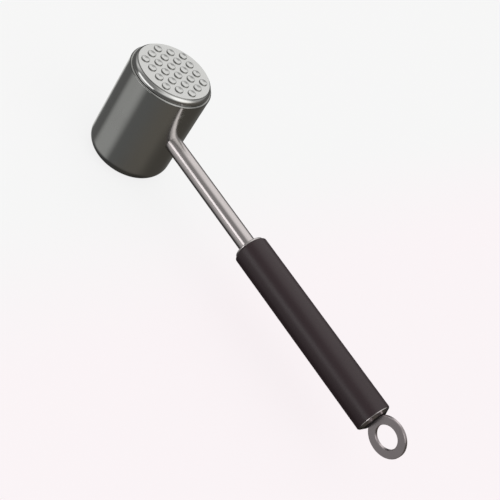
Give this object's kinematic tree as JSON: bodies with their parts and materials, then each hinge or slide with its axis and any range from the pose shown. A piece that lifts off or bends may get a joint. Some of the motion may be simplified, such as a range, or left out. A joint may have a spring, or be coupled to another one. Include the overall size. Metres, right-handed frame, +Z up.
{
  "type": "meat mallet",
  "caption": "Meat mallet: a heavy round steel head with a studded plate above and a smooth face below, on a slim steel rod with a black rubber grip and a flat hanging ring.",
  "frame": {"origin": "centre of the smooth striking face, which the mallet stands on", "axes": "+Z up the head's axis towards the studded plate, +X out along the handle towards the hanging ring, +Y square to both"},
  "size_m": [0.263, 0.05, 0.0681],
  "materials": {
    "polished_steel": "polished dark stainless steel with soft reflections",
    "satin_steel": "fine bead-blasted satin on the face, polished edge",
    "rod_steel": "bright drawn and polished",
    "ring_steel": "brushed, with broken edges",
    "fastener_steel": "plain machined",
    "grip_rubber": "smooth satin black",
    "core_plastic": "moulded, hidden",
    "seal_rubber": "flat gasket"
  },
  "bodies": {
    "root": {"head_body": "polished_steel", "toothed_plate": "satin_steel", "plate_seal": "seal_rubber", "plate_stud": "fastener_steel", "rod_lock_screw": "fastener_steel", "handle_rod": "rod_steel", "front_collar": "rod_steel", "collar_pin": "fastener_steel", "grip_core": "core_plastic", "grip_sleeve": "grip_rubber", "lock_washer": "fastener_steel", "end_cap": "rod_steel", "hanging_ring": "ring_steel"}
  },
  "joints": []
}
